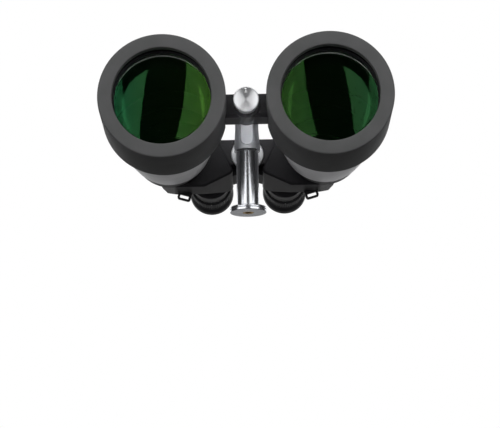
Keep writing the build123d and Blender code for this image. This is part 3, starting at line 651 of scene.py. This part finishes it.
for side in SIDES:
    tube = turned(side + "_tapered_tube", [
        (cell_r, tube_front, 0.3), (seat_r, tube_front, 0.5), (seat_r, hood_back, 0),
        (shoulder_r, hood_back, 0.8), (taper_r, taper_back, 0.4), (spigot_r, taper_back, 0.2),
        (spigot_r, tube_back, 0.3), (spigot_r - SPIGOT_WALL, tube_back, 0.3),
        (spigot_r - SPIGOT_WALL, taper_back - TUBE_WALL, 0),
        (taper_r - TUBE_WALL, taper_back - 2 * TUBE_WALL, 0),
        (shoulder_r - TUBE_WALL, hood_back + TUBE_WALL, 0), (seat_r - TUBE_WALL, hood_back, 0),
        (seat_r - TUBE_WALL, flint_back + REST_WIDTH, 0), (rest_r, flint_back + REST_WIDTH, 0),
        (rest_r, flint_back, 0), (cell_r, flint_back, 0),
        *ridges(cell_r, retainer_front, tube_front),
    ], tube_enamel, x=axis_x[side], z=rod_z, ring=True, steps=160)
    tube.data.materials.append(antiglare)
    for face in tube.data.polygons:
        across = Vector((face.center.x - axis_x[side], 0, face.center.z - rod_z))
        outward = across.normalized().dot(face.normal) > 0
        if not outward and abs(face.normal.y) < 0.9:
            face.material_index = 1
    stands_for(tube, "tube_grey", side + "_objective_tube")
    print(tube.name, len(tube.data.polygons), "faces")

# %% [markdown]
# ## Objectives
# Each objective is an achromat: a thick crown lens with a thin flint lens behind it. A lens mirrors the
# room, so its curves have to be exact and smooth. Both are turned from true arcs of the radii that the CAD
# lens has. The two glasses meet in a cement layer, and here they keep a hair's breadth apart, because two
# glass faces in one place confuse the renderer. Light hardly notices that layer, since its index is close to
# both glasses, so the two faces that meet get an index just above one and mirror almost nothing.

# %% Turn the lenses
LENS_CURVES = {"crown": (200 * MM, -160 * MM), "flint": (-160 * MM, -500 * MM)}
CEMENT = 0.05 * MM
ARC_STEPS = 20
LENS_EDGE_STEPS = 160
# Outer and inner reflection tints of each objective: the green is the coating's own, and the drift between
# them is painted reflection colour.
COATING_AND_PAINTED_DRIFT_TINTS = {"left": ("#4fd08f", "#9cf060"), "right": ("#66c880", "#78c45a")}


def sag(curve, r):
    depth = abs(curve) - math.sqrt(curve * curve - r * r)
    return depth if curve > 0 else -depth


def lens_outline(vertex, back_vertex, front_curve, back_curve, r_edge):
    """From the axis along the front arc to the edge, and back along the rear arc."""
    radii = [r_edge * step / ARC_STEPS for step in range(ARC_STEPS + 1)]
    front_arc = [(r, vertex + sag(front_curve, r), 0) for r in radii]
    back_arc = [(r, back_vertex + sag(back_curve, r), 0) for r in reversed(radii)]
    return front_arc + back_arc


CROWN_THICK = 13 * MM
FLINT_THICK = 5 * MM
lens_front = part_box("right_objective_crown")[0].y
lens_r = radius_of("right_objective_crown")
cement_at = lens_front + CROWN_THICK
for side in SIDES:
    outer_tint, inner_tint = COATING_AND_PAINTED_DRIFT_TINTS[side]
    tints = (outer_tint, inner_tint) if side == "left" else (inner_tint, outer_tint)
    crown_coat = coated_glass(side + "_crown_coating", CROWN_INDEX, axis_x[side], *tints)
    flint_coat = coated_glass(side + "_flint_coating", FLINT_INDEX, axis_x[side], *tints, mirror=0.15)
    crown = turned(side + "_crown_lens", lens_outline(lens_front, cement_at, *LENS_CURVES["crown"], lens_r),
                   crown_coat, x=axis_x[side], z=rod_z, steps=LENS_EDGE_STEPS)
    flint = turned(side + "_flint_lens", lens_outline(cement_at + CEMENT, cement_at + FLINT_THICK,
                                                      *LENS_CURVES["flint"], lens_r),
                   flint_coat, x=axis_x[side], z=rod_z, steps=LENS_EDGE_STEPS)
    for glass, towards in ((crown, 1), (flint, -1)):
        glass.data.materials.append(cement)
        for face in glass.data.polygons:
            if face.normal.y * towards > 0.5:
                face.material_index = 1
    stands_for(crown, "coated_glass", side + "_objective_crown")
    stands_for(flint, "coated_glass", side + "_objective_flint")
print("lenses:", round(lens_r * 2000, 1), "mm across")

# %% [markdown]
# ## Grips that repeat
# Focus rings, the tension cap's neck and the lock knob all have the same kind of grip: one rib, repeated
# round a ring. Modelling each rib would be slow and an array would need an empty to turn it. One node tree
# does all three: a circle with a point for each rib, a rounded rib on each point, and the plain turned
# core passed through and joined in.

# %% The grip tree
grip_tree, given = new_tree("ribbed_grip", ("Ribs", "Int"), ("Ring radius", "Float"),
                            ("Rib radius", "Float"), ("Rib length", "Float"), ("Middle", "Float"),
                            ("Finish", "Material"))
circle = add_node(grip_tree, "GeometryNodeCurvePrimitiveCircle", {"Resolution": given["Ribs"],
                                                                  "Radius": given["Ring radius"]})
ball = add_node(grip_tree, "GeometryNodeMeshUVSphere", {"Segments": 8, "Rings": 6,
                                                        "Radius": given["Rib radius"]})
ball_spot = add_node(grip_tree, "GeometryNodeInputPosition").outputs["Position"]
ball_z = add_node(grip_tree, "ShaderNodeSeparateXYZ", {"Vector": ball_spot}).outputs["Z"]
half_rib = add_node(grip_tree, MATH, {0: given["Rib length"], 1: 0.5}, operation="MULTIPLY")
straight = add_node(grip_tree, MATH, {0: half_rib, 1: given["Rib radius"]}, operation="SUBTRACT")
in_microns = add_node(grip_tree, MATH, {0: ball_z, 1: 1e6}, operation="MULTIPLY")
whole_microns = add_node(grip_tree, MATH, {0: in_microns}, operation="ROUND")
which_end = add_node(grip_tree, MATH, {0: whole_microns}, operation="SIGN")
pull_by = add_node(grip_tree, MATH, {0: which_end, 1: straight}, operation="MULTIPLY")
pull = add_node(grip_tree, "ShaderNodeCombineXYZ", {"Z": pull_by})
rib = add_node(grip_tree, "GeometryNodeSetPosition", {"Geometry": ball.outputs["Mesh"],
                                                      "Offset": pull.outputs["Vector"]})
row_of_ribs = add_node(grip_tree, "GeometryNodeInstanceOnPoints", {"Points": circle.outputs["Curve"],
                                                                   "Instance": rib.outputs["Geometry"]})
lift = add_node(grip_tree, "ShaderNodeCombineXYZ", {"Z": given["Middle"]})
ribs_in_place = add_node(grip_tree, "GeometryNodeTransform", {"Geometry": row_of_ribs.outputs["Instances"],
                                                              "Translation": lift.outputs["Vector"]})
joined = add_node(grip_tree, "GeometryNodeJoinGeometry", {"Geometry": given["Geometry"]})
grip_tree.links.new(ribs_in_place.outputs["Geometry"], joined.inputs["Geometry"])
end_tree(grip_tree, joined.outputs["Geometry"], given["Finish"])
print("grip tree:", len(grip_tree.nodes), "nodes")


def gripped(name, points, finish, ribs, ring_mm, rib_mm, length_mm, middle, turn=ALONG_Y, x=0.0, z=0.0,
            ring=False):
    """A turned core with a ribbed grip round it."""
    core = turned(name + "_core", points, finish, turn=ALONG_Z, ring=ring)
    piece = grown(name, grip_tree, core.data, Ribs=ribs, Ring_radius=ring_mm * MM, Rib_radius=rib_mm * MM,
                  Rib_length=length_mm * MM, Middle=middle, Finish=finish)
    bpy.data.objects.remove(core)
    return tidy_faces(on_axis(piece, turn, x, z))


# %% Focus rings
FOCUS_RIBS = 56
FOCUS_RIB = 0.75
RING_BORE_R = 15.55 * MM
BARREL_BORE_R = 14.1 * MM
LIP_THICK = 1.4 * MM
END_BANDS_MM = 6.4
for side in SIDES:
    low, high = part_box(side + "_focus_ring")
    outer = radius_of(side + "_focus_ring")
    eye = centre_of(side + "_focus_ring")
    core_r = outer - 0.6 * MM
    band_r = outer - 0.1 * MM
    piece = gripped(side + "_focus_grip", [
        (RING_BORE_R, low.y, 0.2), (core_r - 0.3 * MM, low.y, 0.5), (band_r, low.y + 1.4 * MM, 0.5),
        (band_r, low.y + 2.4 * MM, 0.3), (core_r, low.y + 2.9 * MM, 0.2),
        (core_r, high.y - 2.9 * MM, 0.2), (band_r, high.y - 2.4 * MM, 0.3),
        (band_r, high.y - 1.2 * MM, 0.5), (core_r - 0.3 * MM, high.y, 0.5),
        (BARREL_BORE_R, high.y, 0.2), (BARREL_BORE_R, high.y - LIP_THICK, 0),
        (RING_BORE_R, high.y - LIP_THICK, 0),
    ], grip_rubber, FOCUS_RIBS, outer * 1000 - FOCUS_RIB, FOCUS_RIB, (high.y - low.y) * 1000 - END_BANDS_MM,
        (low.y + high.y) / 2, x=eye.x, z=eye.z, ring=True)
    stands_for(piece, "focus_grip", side + "_focus_ring")
    print(piece.name, len(piece.data.polygons), "faces")

# %% [markdown]
# ## Cap, lock knob and foot
# The bright knob in front tightens the hinge. Its face is cut slightly hollow on the lathe, which gives the
# fan of light and shade, and its neck is ribbed for the fingers. The lock knob on top of the post presses on
# the rod. The round foot seats on the tripod.

# %% Tension cap and lock knob
low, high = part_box("front_cap")
cap_r = radius_of("front_cap")
neck_r = cap_r - 1.9 * MM
CAP_RIBS = 64
CAP_RIB = 0.35
CAP_RIB_LENGTH = 8.4
CAP_HOLLOW = 2.1 * MM
CAP_BORE_R = 5.05 * MM
CAP_BORE_DEPTH = 8.1 * MM
cap = gripped("tension_cap_knob", [
    (0, low.y + CAP_HOLLOW, 0), (cap_r - 1.2 * MM, low.y, 0.3), (cap_r, low.y, 0.7),
    (cap_r, low.y + 4.0 * MM, 0.5),
    (neck_r - CAP_RIB * MM, low.y + 4.6 * MM, 0.3), (neck_r - CAP_RIB * MM, high.y, 0.2),
    (CAP_BORE_R, high.y, 0), (CAP_BORE_R, high.y - CAP_BORE_DEPTH, 0), (0, high.y - CAP_BORE_DEPTH, 0),
], turned_aluminium, CAP_RIBS, neck_r * 1000 - CAP_RIB, CAP_RIB, CAP_RIB_LENGTH, high.y - 5.0 * MM, z=rod_z)
stands_for(cap, "turned_aluminium", "front_cap")

low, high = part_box("post_lock_screw")
knob_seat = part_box("tripod_post")[1].z + WINDOW_GAP
knob_r = (high.x - low.x) / 2
KNOB_RIBS = 40
KNOB_RIB = 0.45
KNOB_RIB_LENGTH = 6.4
core_r = knob_r - KNOB_RIB * MM
SHANK_R = 3.0 * MM
knob = gripped("lock_knob", [
    (0, low.z, 0), (SHANK_R, low.z, 0.3), (SHANK_R, knob_seat, 0), (core_r, knob_seat, 0.6),
    (core_r, high.z, 1.2), (0, high.z, 0),
], anodised, KNOB_RIBS, knob_r * 1000 - KNOB_RIB, KNOB_RIB, KNOB_RIB_LENGTH, (knob_seat + high.z) / 2,
    turn=ALONG_Z)
stands_for(knob, "black_anodised", "post_lock_screw")

low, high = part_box("post_foot")
foot_r = (high.x - low.x) / 2
FLANGE = 4.5 * MM
FOOT_GROOVE = 0.4 * MM
INSERT_R = 4.6 * MM
INSERT_LENGTH = 10 * MM
FOOT_SPIGOT_R = 6.5 * MM
foot = turned("post_foot_flange", [
    (0, INSERT_LENGTH, 0), (INSERT_R, INSERT_LENGTH, 0), (INSERT_R, 0, 0.2), (foot_r, 0, 0.5),
    (foot_r, FLANGE * 0.4, 0), (foot_r - FOOT_GROOVE, FLANGE * 0.5, 0), (foot_r, FLANGE * 0.6, 0),
    (foot_r, FLANGE, 0.9), (FOOT_SPIGOT_R, FLANGE, 0), (FOOT_SPIGOT_R, high.z, 0.5), (0, high.z, 0),
], chrome, turn=ALONG_Z)
stands_for(foot, "post_chrome", "post_foot")
print("cap, knob and foot made")

# %% [markdown]
# ## Eyecups
# A rubber eyecup is a soft bell that folds down for people who wear glasses. Its skirt has two shallow fold
# rings, and its lip is a full round. It is turned too, but with larger rounds, because moulded rubber has no
# sharp edge.

# %% Turn the eyecups
CUP_WALL = 1.9 * MM
for side in SIDES:
    low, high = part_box(side + "_eyecup")
    cup_r = radius_of(side + "_eyecup")
    foot_cup_r = cup_r - 2.0 * MM
    eye = centre_of(side + "_eyecup")
    cup = turned(side + "_soft_eyecup", [
        (BARREL_BORE_R, low.y, 0.3), (foot_cup_r, low.y, 0.6), (foot_cup_r, low.y + 3.0 * MM, 0.6),
        (foot_cup_r - 0.5 * MM, low.y + 3.8 * MM, 0.4), (foot_cup_r, low.y + 4.6 * MM, 0.5),
        (cup_r, low.y + 9 * MM, 1.5), (cup_r, high.y - 4.4 * MM, 0.4),
        (cup_r - 0.4 * MM, high.y - 3.7 * MM, 0.3),
        (cup_r, high.y - 3.0 * MM, 0.4), (cup_r, high.y, 0.9), (cup_r - CUP_WALL, high.y, 0.9),
        (cup_r - CUP_WALL, low.y + 9 * MM, 1.5), (foot_cup_r - CUP_WALL, low.y + 5 * MM, 0.8),
        (foot_cup_r - CUP_WALL, low.y + 2 * MM, 0.3), (BARREL_BORE_R, low.y + 2 * MM, 0.3),
    ], cup_rubber, x=eye.x, z=eye.z, ring=True)
    stands_for(cup, "eyecup_rubber", side + "_eyecup")
print("eyecups made")

# %% [markdown]
# ## Focus marks
# Every eyepiece that focuses by itself has a scale, so that a user can set it again: a row of ticks round
# the fixed base, each fifth one longer, and one tick on the ring to read them by. A tree puts one small bar
# on each point of an arc and stretches every fifth.

# %% The scale tree
scale_tree, given = new_tree("engraved_scale", ("Ticks", "Int"), ("Step angle", "Float"), ("Radius", "Float"),
                             ("Tick length", "Float"), ("Tick width", "Float"), ("Start", "Float"),
                             ("Finish", "Material"))
number = add_node(scale_tree, "GeometryNodeInputIndex")
gaps = add_node(scale_tree, MATH, {0: given["Ticks"], 1: 1.0}, operation="SUBTRACT")
half_row = add_node(scale_tree, MATH, {0: gaps, 1: 0.5}, operation="MULTIPLY")
from_middle = add_node(scale_tree, MATH, {0: number, 1: half_row}, operation="SUBTRACT")
turn_by = add_node(scale_tree, MATH, {0: from_middle, 1: given["Step angle"]}, operation="MULTIPLY")
on_arc = {"Z": given["Start"]}
for axis, wave in (("X", "COSINE"), ("Y", "SINE")):
    reach = add_node(scale_tree, MATH, {0: turn_by}, operation=wave)
    on_arc[axis] = add_node(scale_tree, MATH, {0: reach, 1: given["Radius"]}, operation="MULTIPLY")
spots = add_node(scale_tree, "ShaderNodeCombineXYZ", on_arc)
row_of_points = add_node(scale_tree, "GeometryNodePoints", {"Count": given["Ticks"],
                                                            "Position": spots.outputs["Vector"]})
bar_size = add_node(scale_tree, "ShaderNodeCombineXYZ", {"X": given["Tick width"], "Y": given["Tick width"],
                                                         "Z": given["Tick length"]})
bar = add_node(scale_tree, "GeometryNodeMeshCube", {"Size": bar_size.outputs["Vector"]})
half_length = add_node(scale_tree, MATH, {0: given["Tick length"], 1: 0.5}, operation="MULTIPLY")
half_bar = add_node(scale_tree, "ShaderNodeCombineXYZ", {"Z": half_length})
stood = add_node(scale_tree, "GeometryNodeTransform", {"Geometry": bar.outputs["Mesh"],
                                                       "Translation": half_bar.outputs["Vector"]})
since_fifth = add_node(scale_tree, MATH, {0: number, 1: 5.0}, operation="MODULO")
is_fifth = add_node(scale_tree, MATH, {0: since_fifth, 1: 0.0, 2: 0.5}, operation="COMPARE")
extra = add_node(scale_tree, MATH, {0: is_fifth, 1: 0.8}, operation="MULTIPLY")
stretch = add_node(scale_tree, MATH, {0: extra, 1: 1.0}, operation="ADD")
longer = add_node(scale_tree, "ShaderNodeCombineXYZ", {"X": 1.0, "Y": 1.0, "Z": stretch})
spin = add_node(scale_tree, "ShaderNodeCombineXYZ", {"Z": turn_by})
ticks = add_node(scale_tree, "GeometryNodeInstanceOnPoints", {
    "Points": row_of_points.outputs["Points"], "Instance": stood.outputs["Geometry"],
    "Rotation": spin.outputs["Vector"], "Scale": longer.outputs["Vector"]})
end_tree(scale_tree, ticks.outputs["Instances"], given["Finish"])

TICKS = 21
TICK_STEP = math.radians(4.5)
TICK_WIDTH = 0.36 * MM
TICK_SUNK = 0.13 * MM
TO_TOP = Matrix.Rotation(math.radians(90), 4, "Z")
for side in SIDES:
    ring_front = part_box(side + "_focus_ring")[0].y
    eye = centre_of(side + "_focus_ring")
    rows = {
        "_scale_marks": (TICKS, radius_of(side + "_eyepiece_base"), 1.5, ring_front - 3.4 * MM,
                         side + "_half"),
        "_index_mark": (1, radius_of(side + "_focus_ring") - 0.1 * MM, 1.6, ring_front + 0.9 * MM,
                        side + "_focus_ring_group"),
    }
    for suffix, (count, radius, length, start, body) in rows.items():
        marks = grown(side + suffix, scale_tree, bpy.data.meshes.new("empty"), Ticks=count,
                      Step_angle=TICK_STEP, Radius=radius - TICK_SUNK, Tick_length=length * MM,
                      Tick_width=TICK_WIDTH, Start=0.0, Finish=mark_paint)
        marks.data.transform(TO_TOP)
        tidy_faces(on_axis(marks, Matrix.Translation((0, start, 0)) @ ALONG_Y, eye.x, eye.z))
        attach(marks, body)
print("scale marks made")

# %% [markdown]
# ## Screws
# Each rear cover is held by six small pan-head screws with a cross recess, and each bridge arm by two socket
# screws inside the hood. The cover screws are all alike, so one head is modelled well and a tree sets a copy
# on each place. The places are the middles of the screws in the CAD node, found by walking its loose parts.

# %% Cover screws
def loose_part_centres(node):
    """Centres of a node's separate parts, at the far end of each along Y."""
    shape = bmesh.new()
    shape.from_mesh(nodes[node].data)
    bmesh.ops.remove_doubles(shape, verts=shape.verts, dist=0.00001)
    waiting = set(shape.verts)
    centres = []
    while waiting:
        front = [waiting.pop()]
        part = list(front)
        while front:
            vert = front.pop()
            for edge in vert.link_edges:
                other = edge.other_vert(vert)
                if other in waiting:
                    waiting.remove(other)
                    front.append(other)
                    part.append(other)
        xs, ys, zs = ([v.co[axis] for v in part] for axis in range(3))
        centres.append(((min(xs) + max(xs)) / 2, max(ys), (min(zs) + max(zs)) / 2))
    shape.free()
    return sorted(centres)


screw_tree, given = new_tree("screws_on_their_places", ("Screw", "Object"), ("Finish", "Material"))
one_screw = add_node(screw_tree, "GeometryNodeObjectInfo", {"Object": given["Screw"]})
set_screws = add_node(screw_tree, "GeometryNodeInstanceOnPoints", {"Points": given["Geometry"],
                                                                   "Instance": one_screw.outputs["Geometry"]})
end_tree(screw_tree, set_screws.outputs["Instances"], given["Finish"])

HEAD_R = 2.4 * MM
HEAD_HIGH = 1.6 * MM
SCREW_R = 1.25 * MM
SCREW_END = -HEAD_HIGH - 5.6 * MM
screw = turned("pan_head_screw", [
    (0, SCREW_END, 0), (SCREW_R, SCREW_END, 0.3), (SCREW_R, -HEAD_HIGH, 0),
    (HEAD_R, -HEAD_HIGH, 0.15), (HEAD_R, -0.45 * MM, 0.5), (HEAD_R * 0.6, 0, 0.6), (0, 0, 0),
], zinc, steps=24)
for half_mm in ((1.45, 0.8, 0.36), (0.36, 0.8, 1.45)):
    corner = Vector(half_mm) * MM
    cut(screw, box_between("cross_tool", -corner, corner))
for side in SIDES:
    centres = loose_part_centres(side + "_cover_screws")
    spots_mesh = bpy.data.meshes.new("spots")
    spots_mesh.from_pydata(centres, [], [])
    screws = grown(side + "_cover_screw_set", screw_tree, spots_mesh, Screw=screw, Finish=zinc)
    tidy_faces(screws)
    stands_for(screws, "zinc_screw", side + "_cover_screws")
    print(screws.name, len(centres), "screws")
bpy.data.objects.remove(screw)

# %% [markdown]
# ## Finishes on the CAD pieces
# The castings, the post, the rod and the inner optics keep their CAD shape, which is right, and only get
# their real finish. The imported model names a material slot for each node, so most of it is one table. The
# small lenses at the eye end are coated like the objectives.

# %% Dress the CAD nodes
FINISH_OF_SLOT = {
    "hood_rubber": hood_coat, "eyecup_rubber": cup_rubber, "tube_grey": tube_enamel,
    "housing_black": housing_enamel, "black_anodised": anodised, "post_chrome": chrome,
    "turned_aluminium": turned_aluminium, "rod_steel": rod_steel, "spring_steel": spring_steel,
    "zinc_screw": zinc, "insert_brass": brass, "prism_glass": prism_glass, "focus_grip": grip_rubber,
    "shelf_plastic": shelf_plastic,
}
# The eye lenses get the same green coating, with a painted drift of reflection tint across each lens.
EYE_LENS_COATING_AND_DRIFT_TINTS = ("#7fb89a", "#9ac47a")
for name, node in nodes.items():
    slot_name = node.data.materials[0].name
    if slot_name == "coated_glass":
        node.data.materials[0] = coated_glass(name + "_coating", CROWN_INDEX, centre_of(name).x,
                                              *EYE_LENS_COATING_AND_DRIFT_TINTS)
    else:
        node.data.materials[0] = FINISH_OF_SLOT[slot_name]
for side in SIDES:
    nodes[side + "_baffle"].data.materials[0] = antiglare
nodes["hinge_disc"].data.materials[0] = faced_aluminium
print("dressed", len(nodes), "CAD nodes")

# %% [markdown]
# ## Studio
# Two tall soft boxes stand left and right of the camera, with a dark gap between them, and a third hangs
# above, too steep for the lenses to mirror. The gap is what draws the black band down the middle of each
# lens, and the pair of bright lines down the chrome post. The hoods shade the post's block from all three,
# so two narrow beams from below reach the block and the cap. A bright sheet far behind gives the black
# coats their pale rim, and a dim one under it lifts the undersides. The floor is pale and lies far below,
# since the binoculars stand high on a tripod. The room itself is white to the eye and dim in reflections,
# as in a studio with its doors closed.

# %% Lights, sheets and floor
AIM = Vector((0.0, -0.04, 0.083))


def aimed_light(name, kind, azimuth, elevation, distance, target, watts):
    """A lamp at an azimuth from the front (right positive), facing the target; returns its data."""
    data = bpy.data.lights.new(name, kind)
    data.energy = watts
    light = bpy.data.objects.new(name, data)
    bpy.context.scene.collection.objects.link(light)
    across, up = math.radians(azimuth), math.radians(elevation)
    away = Vector((math.sin(across) * math.cos(up), -math.cos(across) * math.cos(up), math.sin(up)))
    light.location = target + away * distance
    light.rotation_euler = away.to_track_quat("Z", "Y").to_euler()
    return data


def soft_box(name, azimuth, elevation, distance, width, height, watts):
    """A lit rectangle that faces the object."""
    data = aimed_light(name, "AREA", azimuth, elevation, distance, AIM, watts)
    data.shape = "RECTANGLE"
    data.size = width
    data.size_y = height


def snoot(name, azimuth, elevation, distance, target, radius, watts):
    """A narrow beam that reaches only a spot of the given radius."""
    data = aimed_light(name, "SPOT", azimuth, elevation, distance, target, watts)
    data.spot_size = 2 * math.atan(radius / distance)
    data.spot_blend = 0.5
    data.shadow_soft_size = 0.02


for box_side, azimuth in (("left", -43), ("right", 43)):
    soft_box("soft_box_" + box_side, azimuth, 10, 1.5, 1.53, 1.7, 13.0)
soft_box("soft_box_top", 0, 60, 1.5, 2.4, 0.8, 11.5)

block_front = Vector((0.0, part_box("tripod_post")[0].y, rod_z - 19 * MM))
cap_front = Vector((0.0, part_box("front_cap")[0].y, rod_z))
snoot("block_snoot", 0, -20, 0.6, block_front, 15 * MM, 19.0)
snoot("cap_snoot", 0, -30, 0.6, cap_front, 12 * MM, 4.5)


def staged_sheet(name, width, height, location, turn, colour, glow):
    """A flat sheet of the studio: paper, or paper lit from behind."""
    shape = bmesh.new()
    bmesh.ops.create_grid(shape, x_segments=1, y_segments=1, size=0.5)
    mesh = bpy.data.meshes.new(name)
    shape.to_mesh(mesh)
    shape.free()
    mesh.transform(Matrix.Translation(location) @ turn @ Matrix.Diagonal((width, height, 1, 1)))
    sheet = bpy.data.objects.new(name, mesh)
    bpy.context.scene.collection.objects.link(sheet)
    material, tree, shader, place = new_finish(name + "_paper", colour, Roughness=0.9)
    shader.inputs["Emission Color"].default_value = (1, 1, 1, 1)
    shader.inputs["Emission Strength"].default_value = glow
    mesh.materials.append(material)
    return sheet


UPRIGHT = Matrix.Rotation(math.radians(90), 4, "X")
back_sheet = staged_sheet("back_sheet", 3.4, 1.8, (0, 1.7, 1.05), UPRIGHT, "#ffffff", 1.0)
back_sheet.visible_camera = False
lower_sheet = staged_sheet("lower_sheet", 3.4, 1.25, (0, 1.7, -0.475), UPRIGHT, "#a0a0a0", 0.14)
lower_sheet.visible_camera = False
floor = staged_sheet("floor", 14.0, 14.0, (0, 0, -2.2), Matrix.Identity(4), "#f2f2f0", 0.95)
floor.visible_diffuse = False
floor.visible_glossy = False

world = bpy.data.worlds.new("studio")
bpy.context.scene.world = world
world.use_nodes = True
sky = world.node_tree
path = add_node(sky, "ShaderNodeLightPath")
seen = add_node(sky, "ShaderNodeMapRange", {"Value": path.outputs["Is Diffuse Ray"], "To Min": 0.035,
                                            "To Max": 0.06})
light_level = add_node(sky, "ShaderNodeMix", {"Factor": path.outputs["Is Camera Ray"],
                                              "A": seen.outputs["Result"], "B": 1.0}, data_type="FLOAT")
room = sky.nodes["Background"]
room.inputs["Color"].default_value = (1, 1, 1, 1)
sky.links.new(light_level.outputs["Result"], room.inputs["Strength"])
print("studio: three soft boxes, two snoots, two sheets and a floor")
